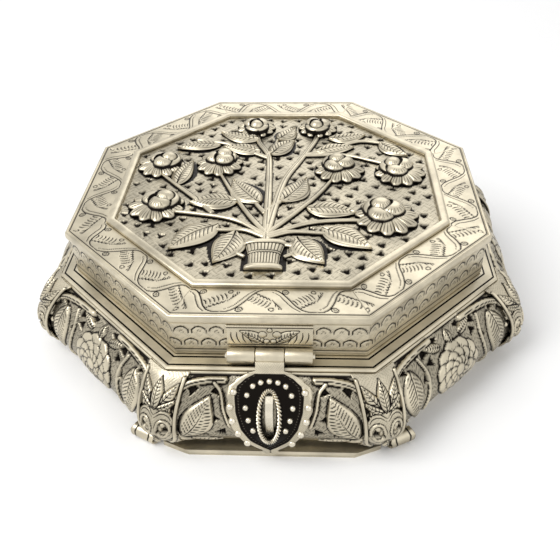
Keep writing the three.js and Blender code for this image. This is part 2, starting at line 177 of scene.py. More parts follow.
def metal(name, bright, dark=(0.008, 0.006, 0.0045), rough=0.3, oxide_and_shade=True, grain=900.0,
          tarnish=0.35, lines=()):
    """Silver with its dark oxide; lines are the heights in mm of thin dark lines of painted shade.
    """
    material = bpy.data.materials.new(name)
    material.use_nodes = True
    nodes, links = material.node_tree.nodes, material.node_tree.links
    shader = nodes["Principled BSDF"]
    shader.inputs["Metallic"].default_value = 0.92
    coords = nodes.new("ShaderNodeTexCoord")
    patches = nodes.new("ShaderNodeTexNoise")
    patches.inputs["Scale"].default_value = 95.0
    patches.inputs["Detail"].default_value = 6.0
    links.new(coords.outputs["Object"], patches.inputs["Vector"])
    marks = nodes.new("ShaderNodeTexNoise")
    marks.inputs["Scale"].default_value = grain
    marks.inputs["Detail"].default_value = 3.0
    links.new(coords.outputs["Object"], marks.inputs["Vector"])
    tone = nodes.new("ShaderNodeValToRGB")
    tone.color_ramp.elements[0].position = 0.3
    tone.color_ramp.elements[0].color = (*[c * (1 - tarnish) for c in bright], 1)
    tone.color_ramp.elements[1].position = 0.62
    tone.color_ramp.elements[1].color = (*bright, 1)
    links.new(patches.outputs["Fac"], tone.inputs["Fac"])
    mix = nodes.new("ShaderNodeMix")
    mix.data_type = "RGBA"
    mix.inputs["B"].default_value = (*dark, 1)
    links.new(tone.outputs["Color"], mix.inputs["A"])
    roughness = nodes.new("ShaderNodeMapRange")
    roughness.inputs["To Min"].default_value = rough - 0.05
    roughness.inputs["To Max"].default_value = rough + 0.14
    links.new(marks.outputs["Fac"], roughness.inputs["Value"])
    links.new(roughness.outputs["Result"], shader.inputs["Roughness"])
    if oxide_and_shade:
        lies = nodes.new("ShaderNodeAttribute")
        lies.attribute_name = "oxide_and_shade"
        deeper = nodes.new("ShaderNodeMapRange")
        deeper.inputs["From Max"].default_value = 0.72
        links.new(lies.outputs["Fac"], deeper.inputs["Value"])
        links.new(deeper.outputs["Result"], mix.inputs["Factor"])
    else:
        speck = nodes.new("ShaderNodeMapRange")
        speck.inputs["From Min"].default_value = 0.6
        speck.inputs["From Max"].default_value = 0.8
        speck.inputs["To Max"].default_value = 0.45
        links.new(patches.outputs["Fac"], speck.inputs["Value"])
        dark_factor = speck.outputs["Result"]
        apart = nodes.new("ShaderNodeSeparateXYZ")
        links.new(coords.outputs["Object"], apart.inputs[0])
        # Each height gives a thin dark line of painted shade round the rim.
        for z in lines:
            near = nodes.new("ShaderNodeMath")
            near.operation = "COMPARE"
            near.inputs[1].default_value = z * MM
            near.inputs[2].default_value = 0.04 * MM
            links.new(apart.outputs["Z"], near.inputs[0])
            darker = nodes.new("ShaderNodeMath")
            darker.operation = "MAXIMUM"
            links.new(dark_factor, darker.inputs[0])
            links.new(near.outputs[0], darker.inputs[1])
            dark_factor = darker.outputs[0]
        links.new(dark_factor, mix.inputs["Factor"])
    links.new(mix.outputs["Result"], shader.inputs["Base Color"])
    bump = nodes.new("ShaderNodeBump")
    bump.inputs["Strength"].default_value = 0.25
    bump.inputs["Distance"].default_value = 0.0001
    links.new(marks.outputs["Fac"], bump.inputs["Height"])
    links.new(bump.outputs["Normal"], shader.inputs["Normal"])
    return material


SILVER = (0.64, 0.575, 0.435)
worked = metal("worked_silver", SILVER)
plain = metal("plain_silver", SILVER, oxide_and_shade=False)
# The rim's finish paints two thin lines of shade along its edges, under the lid's skirt.
rim_shaded = metal("rim_shade_lines_silver", SILVER, oxide_and_shade=False, lines=(29.5, 29.9))
wire = metal("wire_silver", (0.76, 0.70, 0.57), rough=0.22, oxide_and_shade=False, tarnish=0.2)
inside = metal("inside_silver", (0.62, 0.58, 0.50), rough=0.38, oxide_and_shade=False, tarnish=0.45)
print("finishes", [m.name for m in bpy.data.materials])

# %% [markdown]
# Relief sheets are all made in one way. A grid is added, each of its points is placed by a
# formula on the flat of the sheet and raised by the height of the ornament there, and the
# sheet then gets its wall. Oxide lies where a point is lower than its neighbours.

# %% Sheets


def clear_selection():
    if bpy.context.object and bpy.context.object.mode != "OBJECT":
        bpy.ops.object.mode_set(mode="OBJECT")
    bpy.ops.object.select_all(action="DESELECT")


def blurred(height, reach):
    total = np.zeros_like(height)
    padded = np.pad(height, reach, mode="edge")
    for i in range(2 * reach + 1):
        for j in range(2 * reach + 1):
            total += padded[i:i + height.shape[0], j:j + height.shape[1]]
    return total / (2 * reach + 1) ** 2


def outwards_at(made, spot):
    """The direction that the face nearest a spot looks in."""
    faces = made.data.polygons
    centres = np.empty(len(faces) * 3)
    faces.foreach_get("center", centres)
    nearest = np.argmin(np.sum((centres.reshape(-1, 3) - spot) ** 2, axis=1))
    return np.array(faces[int(nearest)].normal)


def sheet(name, across, along, placed, drawn, wall=0.6, floor_z=None, depth=0.3, reach=3,
          keep=None):
    """placed(a, b, h) gives x, y, z grids in mm; drawn(a, b) gives a Drawing or high and dark."""
    clear_selection()
    bpy.ops.mesh.primitive_grid_add(x_subdivisions=across, y_subdivisions=along, size=2)
    made = bpy.context.object
    made.name = made.data.name = name
    flat = np.empty(len(made.data.vertices) * 3)
    made.data.vertices.foreach_get("co", flat)
    flat = flat.reshape(-1, 3)
    ix = np.rint((flat[:, 0] + 1) / 2 * across).astype(int)
    iy = np.rint((flat[:, 1] + 1) / 2 * along).astype(int)
    order = np.empty((along + 1, across + 1), dtype=int)
    order[iy, ix] = np.arange(len(flat))
    a, b = np.meshgrid(np.linspace(-1, 1, across + 1), np.linspace(-1, 1, along + 1))
    drawing = drawn(a, b)
    raised, dark = (drawing.high, drawing.dark) if isinstance(drawing, Drawing) else drawing
    hollow = np.clip((blurred(raised, reach) - raised) / depth, 0, 1) ** 0.8
    hollow = np.clip(np.maximum(hollow, dark), 0, 1)
    x, y, z = placed(a, b, raised)
    spots = np.empty_like(flat)
    spots[order.ravel()] = np.stack([x.ravel(), y.ravel(), z.ravel()], 1) * MM
    made.data.vertices.foreach_set("co", spots.ravel())
    # It holds the oxide in the hollows and the painted shade on the floors of the piercings.
    oxide_and_shade = made.data.attributes.new("oxide_and_shade", "FLOAT", "POINT")
    values = np.empty(len(flat))
    values[order.ravel()] = hollow.ravel()
    oxide_and_shade.data.foreach_set("value", values)
    made.data.update()
    bpy.ops.object.mode_set(mode="EDIT")
    if keep is not None:
        inside_points = np.empty(len(flat), dtype=bool)
        inside_points[order.ravel()] = keep(a, b).ravel()
        bpy.ops.mesh.select_all(action="DESELECT")
        bpy.ops.object.mode_set(mode="OBJECT")
        made.data.vertices.foreach_set("select", ~inside_points)
        bpy.ops.object.mode_set(mode="EDIT")
        bpy.ops.mesh.delete(type="VERT")
    bpy.ops.mesh.select_all(action="SELECT")
    bpy.ops.mesh.remove_doubles(threshold=1e-6)
    if floor_z is not None:
        bpy.ops.mesh.select_mode(type="EDGE")
        bpy.ops.mesh.select_all(action="DESELECT")
        bpy.ops.mesh.select_non_manifold(extend=False, use_wire=False, use_boundary=True,
                                         use_multi_face=False, use_non_contiguous=False,
                                         use_verts=False)
        bpy.ops.mesh.extrude_edges_move()
        bpy.ops.object.mode_set(mode="OBJECT")
        for vertex in made.data.vertices:
            if vertex.select:
                vertex.co.z = floor_z * MM
        bpy.ops.object.mode_set(mode="EDIT")
        bpy.ops.mesh.edge_face_add()
    bpy.ops.mesh.select_all(action="SELECT")
    if floor_z is None:
        outwards = np.array([axis[along // 2, across // 2] for axis in placed(a, b, raised + 1)])
        outwards -= np.array([axis[along // 2, across // 2] for axis in (x, y, z)])
        bpy.ops.object.mode_set(mode="OBJECT")
        middle = outwards_at(made, spots[order[along // 2, across // 2]])
        bpy.ops.object.mode_set(mode="EDIT")
        if middle @ outwards < 0:
            bpy.ops.mesh.flip_normals()
    else:
        bpy.ops.mesh.normals_make_consistent(inside=False)
    bpy.ops.object.mode_set(mode="OBJECT")
    if floor_z is None:
        solidify = made.modifiers.new("wall", "SOLIDIFY")
        solidify.thickness = wall * MM
        solidify.offset = -1
        bpy.ops.object.modifier_apply(modifier=solidify.name)
    clear_selection()
    made.select_set(True)
    bpy.context.view_layer.objects.active = made
    bpy.ops.object.shade_smooth()
    if floor_z is not None:
        for face in made.data.polygons:
            face.use_smooth = len(face.vertices) < 5
    made.data.materials.append(worked)
    return made


def dressed(piece, body, *nodes, slot="silver", material=None):
    """The piece rides on a body and stands for the frame's nodes; slot is not used."""
    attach(piece, body)
    if nodes:
        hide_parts(*nodes)
    if material is not None:
        piece.data.materials.clear()
        piece.data.materials.append(material)
    return piece


def joined(name, pieces):
    clear_selection()
    for piece in pieces:
        piece.select_set(True)
    bpy.context.view_layer.objects.active = pieces[0]
    bpy.ops.object.join()
    bpy.context.object.name = bpy.context.object.data.name = name
    return bpy.context.object


# %% [markdown]
# Ornament is drawn flat first, as a silversmith draws on the sheet. A drawing holds two grids: how
# high each point stands, and how dark it is. Raised shapes cover what lies below them, and a
# chased line is cut in with a dark, tapering stroke.

# %% Drawing


def smooth_line(points, steps=6):
    points = np.array(points, dtype=float)
    ends = np.vstack([2 * points[0] - points[1], points, 2 * points[-1] - points[-2]])
    line = []
    for i in range(1, len(ends) - 2):
        p0, p1, p2, p3 = ends[i - 1:i + 3]
        for t in np.arange(steps) / steps:
            line.append(0.5 * (2 * p1 + (p2 - p0) * t + (2 * p0 - 5 * p1 + 4 * p2 - p3) * t ** 2
                               + (3 * p1 - p0 - 3 * p2 + p3) * t ** 3))
    line.append(points[-1])
    return np.array(line)


def line_distance(x, y, points):
    """How far each point is from a line, and how far along the line the nearest place is."""
    nearest, along = np.full(x.shape, 1e9), np.zeros(x.shape)
    for i, ((x0, y0), (x1, y1)) in enumerate(zip(points[:-1], points[1:])):
        dx, dy = x1 - x0, y1 - y0
        t = np.clip(((x - x0) * dx + (y - y0) * dy) / (dx * dx + dy * dy + 1e-9), 0, 1)
        d = np.hypot(x - x0 - t * dx, y - y0 - t * dy)
        along = np.where(d < nearest, (i + t) / (len(points) - 1), along)
        nearest = np.minimum(nearest, d)
    return nearest, along


def stipple(x, y, pitch=0.9):
    """Small punched dots, from 0 to 1."""
    wave = (np.sin(x * 2 * np.pi / pitch + 1.3 * np.sin(y * 1.7))
            * np.sin(y * 2 * np.pi / pitch + 1.1 * np.sin(x * 1.9)))
    return np.clip((wave - 0.25) / 0.5, 0, 1)


class Drawing:
    def __init__(self, x, y):
        self.x, self.y = x, y
        self.high, self.dark = np.zeros(x.shape), np.zeros(x.shape)

    def window(self, points, reach):
        points = np.asarray(points, dtype=float).reshape(-1, 2)
        low, high = points.min(0) - reach, points.max(0) + reach
        return ((self.x > low[0]) & (self.x < high[0]) & (self.y > low[1]) & (self.y < high[1]))

    def ground(self, deep=0.1, dark=0.35, pitch=0.9):
        dots = stipple(self.x, self.y, pitch)
        self.high -= deep * dots
        self.dark = np.maximum(self.dark, dark * (0.35 + 0.65 * dots))

    def lay(self, w, inside, high, dark=0.0):
        self.high[w] = np.where(inside, high, self.high[w])
        self.dark[w] = np.where(inside, dark, self.dark[w])

    def cut(self, w, amount, deep=0.15, dark=1.0):
        amount = np.clip(amount, 0, 1)
        self.high[w] -= deep * amount
        self.dark[w] = np.maximum(self.dark[w], dark * amount ** 0.6)

    def chase(self, points, half=0.2, deep=0.15, dark=1.0, ends=0.25):
        line = smooth_line(points)
        w = self.window(line, half + 0.1)
        d, t = line_distance(self.x[w], self.y[w], line)
        wide = half * (1 - (1 - ends) * np.abs(2 * t - 1) ** 3)
        self.cut(w, 1 - (d / wide) ** 2, deep, dark)

    def ring(self, cx, cy, radius, half=0.2, deep=0.15, dark=1.0):
        w = self.window([(cx, cy)], radius + half)
        d = np.hypot(self.x[w] - cx, self.y[w] - cy)
        self.cut(w, 1 - ((d - radius) / half) ** 2, deep, dark)

    def hole(self, cx, cy, size, turn=0.0, deep=1.4):
        """A three-cornered piercing, made as a pit whose floor is painted full dark as shade."""
        w = self.window([(cx, cy)], size * 1.3)
        reach = np.full(self.x[w].shape, -1e9)
        for k in range(3):
            a = turn + k * 2 * math.pi / 3
            outwards = (self.x[w] - cx) * math.cos(a) + (self.y[w] - cy) * math.sin(a)
            reach = np.maximum(reach, outwards)
        inside = reach < size * 0.5
        self.high[w] = np.where(inside, -deep, self.high[w])
        # The pit's floor is painted full dark: painted shade for the inside seen through a
        # piercing.
        self.dark[w] = np.where(inside, 1.0, self.dark[w])

    def stem(self, points, half=0.6, high=0.6, base=0.0, edge=0.3):
        line = smooth_line(points)
        w = self.window(line, half + edge)
        d, _ = line_distance(self.x[w], self.y[w], line)
        self.cut(w, 1 - np.clip((d - half) / edge, 0, 1), 0.12, 0.9)
        self.lay(w, d < half, base + high * np.sqrt(np.clip(1 - (d / half) ** 2, 0, 1)))

    def berry(self, cx, cy, radius, high=0.6, base=0.0):
        w = self.window([(cx, cy)], radius + 0.4)
        d = np.hypot(self.x[w] - cx, self.y[w] - cy) / radius
        self.cut(w, 1 - np.clip((d * radius - radius) / 0.3, 0, 1), 0.1, 0.9)
        self.lay(w, d < 1, base + high * np.sqrt(np.clip(1 - d ** 2, 0, 1)))

    def leaf(self, x0, y0, x1, y1, half, high=0.8, pitch=1.25, bend=0.0, base=0.0):
        long = math.hypot(x1 - x0, y1 - y0)
        dx, dy = (x1 - x0) / long, (y1 - y0) / long
        w = self.window([(x0, y0), (x1, y1)], half + abs(bend) + 0.6)
        x, y = self.x[w], self.y[w]
        t = ((x - x0) * dx + (y - y0) * dy) / long
        inside_t = np.clip(t, 1e-4, 1)
        s = -(x - x0) * dy + (y - y0) * dx - bend * np.sin(np.pi * np.clip(t, 0, 1))
        wide = half * np.sin(np.pi * inside_t ** 0.8) + 1e-6
        r = np.abs(s) / wide
        near = (t > -0.02) & (t < 1.02)
        self.cut(w, near * (1 - np.clip((np.abs(s) - wide) / 0.4, 0, 1)), 0.15, 1.0)
        crown = base + high * (1 - np.clip(r, 0, 1) ** 4) * (
            0.55 + 0.45 * np.sin(np.pi * inside_t))
        inside = (t > 0) & (t < 1) & (r < 1)
        self.lay(w, inside, crown + 0.15 * high)
        stroke = ((t * long - 0.8 * np.abs(s)) / pitch) % 1.0
        duty = 0.2 * (1 - 0.5 * r)
        veins = inside * (r > 0.12) * (r < 0.74) * (t > 0.08) * (t < 0.9)
        self.cut(w, veins * (1 - (np.abs(stroke - 0.5) / duty) ** 2), 0.16 * high, 0.95)
        self.cut(w, inside * (t < 0.92) * (1 - (s / (0.22 * (1.1 - t))) ** 2), 0.2 * high, 1.0)

    def blossom(self, cx, cy, radius, rings=3, petals=9, high=1.0):
        """Rings of overlapping round petals, the outermost laid first."""
        for k in range(rings):
            reach = radius * (1 - 0.28 * k)
            size = reach * math.sin(math.pi / petals) * 1.18
            for i in range(petals):
                turn = 2 * math.pi * (i + 0.5 * (k % 2)) / petals
                px, py = cx + (reach - size) * math.cos(turn), cy + (reach - size) * math.sin(turn)
                w = self.window([(px, py)], size * 1.7)
                ox, oy = self.x[w] - px, self.y[w] - py
                forward = ox * math.cos(turn) + oy * math.sin(turn)
                side = -ox * math.sin(turn) + oy * math.cos(turn)
                d = np.hypot(np.where(forward > 0, forward, forward * 0.62), side) / size
                self.cut(w, 1 - np.clip((d - 1) * size / 0.3, 0, 1), 0.1, 1.0)
                dome = 0.35 * np.sqrt(np.clip(1 - d ** 2, 0, 1))
                self.lay(w, d < 1, high * (0.5 + 0.22 * k) + dome)
                crease = (d < 0.8) * (forward < 0.35 * size) * (1 - (side / 0.16) ** 2)
                self.cut(w, crease, 0.1, 0.8)
        self.berry(cx, cy, radius * 0.2, 0.5, high)


# %% [markdown]
# ## Where the sheets lie
# A wall of the octagon is a flat drawing laid along its side. The side's own directions are
# outwards and along, so one drawing serves all eight sides, and the mitres meet by themselves.

# %% Laying out


def side_directions(index):
    angle = math.radians(-90 + 45 * index)
    return (math.cos(angle), math.sin(angle)), (-math.sin(angle), math.cos(angle))


def profile_curve(points, count=160):
    """Half width, height and the outward direction, evenly spaced along a smooth profile."""
    line = smooth_line(points, 12)
    steps = np.concatenate([[0], np.cumsum(np.hypot(*np.diff(line, axis=0).T))])
    even = np.linspace(0, steps[-1], count)
    half, z = np.interp(even, steps, line[:, 0]), np.interp(even, steps, line[:, 1])
    dh, dz = np.gradient(half), np.gradient(z)
    long = np.hypot(dh, dz)
    rows = (half, z, -dz / long, dh / long)
    return (even - steps[-1] / 2, *[row[::-1] for row in rows])


def on_profile(curve, w):
    along, half, z, out_h, out_z = curve
    return [np.interp(w, along, values) for values in (half, z, out_h, out_z)]


BODY_CURVE = profile_curve(BODY)
BODY_LONG = float(BODY_CURVE[0][-1])
print("the body's profile is", round(2 * BODY_LONG, 1), "mm long")


def on_side(index, u, half, z):
    n, t = side_directions(index)
    return n[0] * half + t[0] * u, n[1] * half + t[1] * u, z


# %% [markdown]
# ## Side panels
# Each of the eight panels is one sheet, hammered up from behind and chased in front: big veined
# leaves under arched double stems, rosettes, a bunch of berries and three-cornered piercings on
# a stippled ground. Down the sheet, w runs from plus at the rim to minus at the bottom.

# %% Panel drawings
# Each piercing has its middle, its size and its turn, and is mirrored on the panel's other half.
FRONT_HOLES = [(28.5, 9.6, 2.0, 0.4), (17, -0.5, 1.7, 0.2), (32.2, -9.6, 1.8, 2.2),
               (28.2, 3.4, 1.7, 1.4), (15.6, 8.2, 1.5, 0.9), (23, 8.6, 1.5, 1.9),
               (30.4, -5, 1.5, 0.1), (14.6, -6, 1.6, 1.0), (20, -7.4, 1.5, 0.5),
               (33.4, 3.8, 1.7, 1.6), (26.6, -11.2, 1.3, 0.8)]
SIDE_HOLES = [(27.2, 7.6, 2.0, 0.4), (12, 9.8, 1.8, 0.2), (24.4, -9, 2.0, 2.2),
              (13.8, -8.4, 1.7, 1.4), (29.6, -2, 1.6, 0.9), (6, 11.2, 1.5, 1.9),
              (31.4, -10.8, 1.5, 0.1), (10.6, 6.2, 1.5, 1.0), (14.6, 2.6, 1.5, 0.5),
              (8.6, -11.4, 1.6, 1.6), (22.2, 9.2, 1.4, 0.8), (28.4, -6.2, 1.5, 1.3)]
HOLE_GROWTH = 1.35


def pierce(made, holes, flip):
    for cx, cy, size, turn in holes:
        made.hole(flip * cx, cy, HOLE_GROWTH * size, turn if flip > 0 else math.pi - turn)


def front_drawing(x, w):
    made = Drawing(x, w)
    made.ground(0.12, 0.7)
    for flip in (1, -1):
        def at(points):
            return [(flip * px, py) for px, py in points]
        pierce(made, FRONT_HOLES, flip)
        made.leaf(flip * 25.5, -10.9, flip * 14, -10.4, 1.9, 0.7, bend=0.6 * flip)
        made.leaf(flip * 26.5, -7.5, flip * 17.6, 7.0, 4.9, 1.1, 1.3, bend=0.9 * flip)
        made.stem(at([(13.4, 11.6), (19, 11.4), (25.6, 9.6), (29.8, 4.6), (30.4, -2.4), (27.4, -9),
                      (23, -12.6)]), 1.15, 1.0)
        made.chase(at([(13.4, 11.4), (19, 11.2), (25.4, 9.3), (29.4, 4.5), (30.1, -2.4),
                       (27.2, -8.8)]), 0.2, 0.2)
        made.stem(at([(33.6, 11.4), (33.8, 4), (33, -5), (31, -12)]), 0.8, 0.9)
        made.stem(at([(29.6, 5), (31.6, 9), (33.4, 11.6)]), 0.55, 0.7)
        made.stem(at([(12, -3), (13.6, 2.6), (14.4, 7.6), (16.4, 10.6)]), 0.6, 0.7)
    return made


def side_drawing(x, w):
    made = Drawing(x, w)
    made.ground(0.12, 0.7)
    for flip in (1, -1):
        def at(points):
            return [(flip * px, py) for px, py in points]
        pierce(made, SIDE_HOLES, flip)
        made.leaf(flip * 20.2, 8.4, flip * 20.8, -9.4, 4.3, 1.1, 1.3, bend=0.9 * flip)
        made.leaf(flip * 4.5, 8.2, flip * 11.6, 11.0, 1.5, 0.7, 1.0)
        made.stem(at([(30.8, -12.4), (31.4, -4), (29.8, 4), (25, 9.6), (17, 11.6), (8, 12.2)]),
                  1.1, 1.0)
        made.chase(at([(30.8, -12.2), (31.2, -4), (29.5, 4), (24.8, 9.3), (17, 11.3), (8, 11.9)]),
                   0.2, 0.2)
        made.stem(at([(33.8, 11.4), (34, 4), (33.6, -5), (32.6, -12)]), 0.75, 0.9)
        made.stem(at([(15, 9.6), (13.6, 4), (14.4, -2), (16, -8), (15, -12.4)]), 0.55, 0.7)
        made.blossom(flip * 24.8, -11.4, 2.6, 2, 7, 0.6)
        made.berry(flip * 28.2, 1.6, 1.1, 0.7)
        made.berry(flip * 27.2, -0.8, 0.9, 0.6)
    made.blossom(0, -2.2, 10.2, 3, 11, 1.0)
    made.leaf(0, 7.4, 0, 12.2, 1.6, 0.7, 0.9)
    return made


def panel_drawing(a, b, front):
    w = b * BODY_LONG
    half = on_profile(BODY_CURVE, w)[0]
    x = a * (half * TAN - 0.15)
    made = front_drawing(x, w) if front else side_drawing(x, w)
    line = np.abs(np.abs(w) - (BODY_LONG - 0.5))
    made.high = np.where(line < 0.55, 0.5, made.high)
    made.dark = np.where(line < 0.55, 0.0, made.dark)
    made.cut(slice(None), 1 - (np.abs(np.abs(w) - (BODY_LONG - 1.2)) / 0.22) ** 2, 0.15)
    made.high -= 0.3
    return made


def side_panel(index):
    front = index == 0

    def placed(a, b, h):
        half, z, out_h, out_z = on_profile(BODY_CURVE, b * BODY_LONG)
        return on_side(index, a * (half * TAN - 0.15), half + out_h * h, z + out_z * h)

    return sheet("panel_" + SIDE_NAMES[index], 214, 80, placed,
                 lambda a, b: panel_drawing(a, b, front), wall=0.9)


for index, side in enumerate(SIDE_NAMES):
    dressed(side_panel(index), "base", "side_panel_" + side)
print("panels dressed")

# %% [markdown]
# ## Corner straps
# A strap covers each corner of the body. Its palmette has a fan on top, two drop-shaped
# piercings under arched brows and a heart below, as on much metalwork of the region.

# %% Strap drawing
STRAP_HALF = 6.9


def strap_drawing(a, b):
    made = Drawing(a * STRAP_HALF, b * (BODY_LONG - 0.2))
    made.ground(0.1, 0.3)
    made.high += 0.25
    made.dark *= 0.6
    for flip in (1, -1):
        def at(points):
            return [(flip * px, py) for px, py in points]
        made.hole(flip * 4.7, 3.5, 3.0, math.pi / 2 + 0.3 * flip)
        made.leaf(flip * 0.5, 3.6, flip * 5.4, 10.6, 1.75, 0.9, 1.1, bend=-0.6 * flip, base=0.2)
        made.leaf(flip * 0.6, 3.0, flip * 6.2, 6.0, 1.1, 0.7, 1.0, bend=-0.5 * flip, base=0.2)
        made.chase(at([(0.2, 1.2), (2.2, 2.5), (4.4, 1.9), (5.9, -0.4)]), 0.26, 0.25)
        made.chase(at([(0.3, 0.2), (2.2, 1.5), (4.2, 0.9), (5.3, -0.8)]), 0.16, 0.15)
        made.stem(at([(0.9, -3.4), (1.7, -1.2), (3.4, -0.8), (4.8, -2.2), (4.9, -4.4), (3.4, -6.4),
                      (1.7, -5.8), (0.9, -3.4)]), 0.42, 0.5, 0.25)
        made.hole(flip * 3.0, -3.9, 2.7, -math.pi / 2)
        made.berry(flip * 3.0, -2.2, 0.75, 0.5, 0.2)
        made.chase(at([(6.0, -3.4), (5.4, -7.2), (3.0, -9.6), (0.2, -11.8)]), 0.24, 0.25)
        made.chase(at([(0.1, -6.6), (1.8, -8.2), (3.4, -7.9)]), 0.18, 0.2)
        made.stem(at([(6.3, 12), (6.35, 4), (6.3, -4), (5.6, -8.6), (2.6, -12)]), 0.55, 0.6, 0.2)
        made.stem(at([(2.2, -12.4), (3.6, -11.2), (5.2, -11), (5.6, -12.2)]), 0.4, 0.5, 0.1)
    made.leaf(0, 2.8, 0, 12.4, 1.8, 1.0, 1.1, base=0.25)
    made.leaf(0, -11.6, 0, -6.9, 1.1, 0.7, 0.9, base=0.2)
    return made


def corner_strap(index):
    corner = index + 0.5

    def placed(a, b, h):
        half, z, out_h, out_z = on_profile(BODY_CURVE, b * (BODY_LONG - 0.2))
        u = a * STRAP_HALF
        lift = 0.55 + h
        half, z = half + out_h * lift, z + out_z * lift
        soft = np.sqrt(u ** 2 + 1.2) - 1.1
        turn = math.radians(-90 + 45 * corner)
        out = half * CORNER - soft * TAN
        return (np.cos(turn) * out - np.sin(turn) * u, np.sin(turn) * out + np.cos(turn) * u, z)

    return sheet(f"strap_{index + 1}", 70, 116, placed, strap_drawing, wall=0.7, reach=2)


for index in range(8):
    dressed(corner_strap(index), "base", f"corner_strap_{index + 1}")
print("straps dressed")

# %% [markdown]
# ## The lid
# The lid's top is sheet with its piercings made as pits, their floors painted dark as shade.
# Inside the moulding it carries the tree; outside runs a border of scrolling leaves. The ground is
# darker close round the tree, where a chaser's punches leave small pits that are never polished.

# %% Lid ground
draws = np.random.default_rng(11)
FIELD = RIDGE_HALF + 0.4


def octagon_reach(x, y):
    reach = np.zeros_like(x)
    for k in range(8):
        a = math.radians(45 * k)
        reach = np.maximum(reach, x * math.cos(a) + y * math.sin(a))
    return reach


def tree_mask(x, y, grow):
    """Where the tree, its flowers and the vase stand, grown by a margin."""
    covered = np.zeros(x.shape, dtype=bool)
    for x0, y0, x1, y1, half in LEAVES:
        long = math.hypot(x1 - x0, y1 - y0)
        dx, dy = (x1 - x0) / long, (y1 - y0) / long
        t = ((x - x0) * dx + (y - y0) * dy) / long
        s = -(x - x0) * dy + (y - y0) * dx
        wide = half * np.sin(np.pi * np.clip(t, 1e-4, 1) ** 0.8) + grow
        covered |= (t > -grow / long) & (t < 1 + grow / long) & (np.abs(s) < wide)
    for points in STEMS:
        covered |= line_distance(x, y, smooth_line(points, 3))[0] < 0.9 + grow
    for cx, cy, radius, _ in FLOWERS:
        covered |= np.hypot(x - cx, y - cy) < 0.93 * radius + grow
    covered |= (np.abs(x + 3) < 6.6 + grow) & (np.abs(y + 42) < 7 + grow)
    return covered


def scattered_holes(count=150, apart=4.5):
    spots = draws.uniform(-FIELD, FIELD, (9000, 2))
    x, y = spots[:, 0], spots[:, 1]
    free = (octagon_reach(x, y) < FIELD - 3.6) & ~tree_mask(x, y, 1.5)
    found = []
    for px, py in spots[free]:
        if all(math.hypot(px - qx, py - qy) > apart for qx, qy, _ in found):
            found.append((px, py, draws.uniform(-0.4, 0.4) + math.pi / 2 * draws.integers(2)))
        if len(found) == count:
            break
    return found


LID_HOLES = scattered_holes()
print(len(LID_HOLES), "piercings in the lid")


def field_drawing(a, b):
    made = Drawing(a * FIELD, b * FIELD)
    made.ground(0.1, 0.5, 1.05)
    made.dark = np.maximum(made.dark, 0.9 * tree_mask(made.x, made.y, 0.5))
    for cx, cy, turn in LID_HOLES:
        made.hole(cx, cy, 1.75, turn, 1.0)
    return made


field = sheet("lid_ground", 262, 262, lambda a, b, h: (a * FIELD, b * FIELD, LID_TOP + h),
              field_drawing, floor_z=LID_TOP - 1.2, depth=0.5, reach=1,
              keep=lambda a, b: octagon_reach(a * FIELD, b * FIELD) < FIELD)
dressed(field, "lid", "lid_top")

# %% [markdown]
# The border is chased, not raised: a running stem swings from edge to edge, and in each hollow
# of it sits half an acanthus leaf, with curved strokes, a scalloped edge and a small round at
# its root. Half a wave is drawn. It repeats along all eight sides, turned over every second time.

# %% Lid border
BORDER_IN, BORDER_OUT = RIDGE_HALF + 1.0, SKIRT_HALF - 0.1
BORDER_MIDDLE = (BORDER_IN + BORDER_OUT) / 2
WAVES = 2


def half_wave(made, start, wave, flip):
    """Half a wave of the running stem, with the leaf that fills it."""
    def at(points):
        return [(start + px * wave, flip * py) for px, py in points]
    made.chase(at([(0, 5.0), (0.10, 4.9), (0.26, 3.4), (0.42, 0.6), (0.56, -2.4), (0.74, -4.6),
                   (1.0, -5.1)]), 0.24, 0.16, 1.0, 0.5)
    made.chase(at([(0.04, 3.9), (0.2, 2.4), (0.34, -0.4), (0.48, -3.0), (0.62, -4.7)]), 0.16, 0.12)
    for k in range(6):
        x = 0.45 + 0.083 * k
        reach = 1.0 - 0.07 * k
        made.chase(at([(x + 0.02, 0.2 + 0.62 * k), (x + 0.10, -0.4 + 0.5 * k),
                       (x + 0.16, -1.9 * reach + 0.32 * k)]), 0.2, 0.14, 1.0, 0.15)
    for k in range(5):
        x = 0.60 + 0.078 * k
        made.chase(at([(x, -2.9 + 0.62 * k), (x + 0.045, -3.5 + 0.62 * k),
                       (x + 0.085, -2.7 + 0.66 * k)]), 0.2, 0.14, 1.0, 0.6)
    made.ring(start + 0.35 * wave, flip * 3.9, 0.95, 0.2)
    made.ring(start + 0.35 * wave, flip * 3.9, 0.35, 0.16, dark=0.7)
    for k in range(3):
        made.chase(at([(0.02 + 0.055 * k, 0.8 - 1.1 * k), (0.11 + 0.055 * k, -1.4 - 0.8 * k),
                       (0.14 + 0.055 * k, -4.2)]), 0.17, 0.12, 0.9, 0.15)
    made.ring(start + 0.03 * wave, flip * -3.9, 0.7, 0.17)


def border_drawing(a, b):
    middle_half = BORDER_MIDDLE * TAN
    made = Drawing(a * middle_half, b * (BORDER_OUT - BORDER_IN) / 2)
    wave = 2 * middle_half / (2 * WAVES)
    for k in range(2 * WAVES):
        half_wave(made, -middle_half + k * wave, wave, 1 if k % 2 else -1)
    for edge, dark in ((5.75, 1.0), (-5.75, 0.9)):
        made.cut(slice(None), 1 - ((made.y - edge) / 0.2) ** 2, 0.15, dark)
    return made


def border_side(index):
    def placed(a, b, h):
        half = BORDER_MIDDLE + b * (BORDER_OUT - BORDER_IN) / 2
        return on_side(index, a * half * TAN, half, LID_TOP + 0.05 + h)
    return sheet("border_" + SIDE_NAMES[index], 168, 44, placed, border_drawing, wall=1.0,
                 depth=0.6, reach=1)


for index in range(8):
    dressed(border_side(index), "lid", "lid_top")
print("lid sheet dressed")

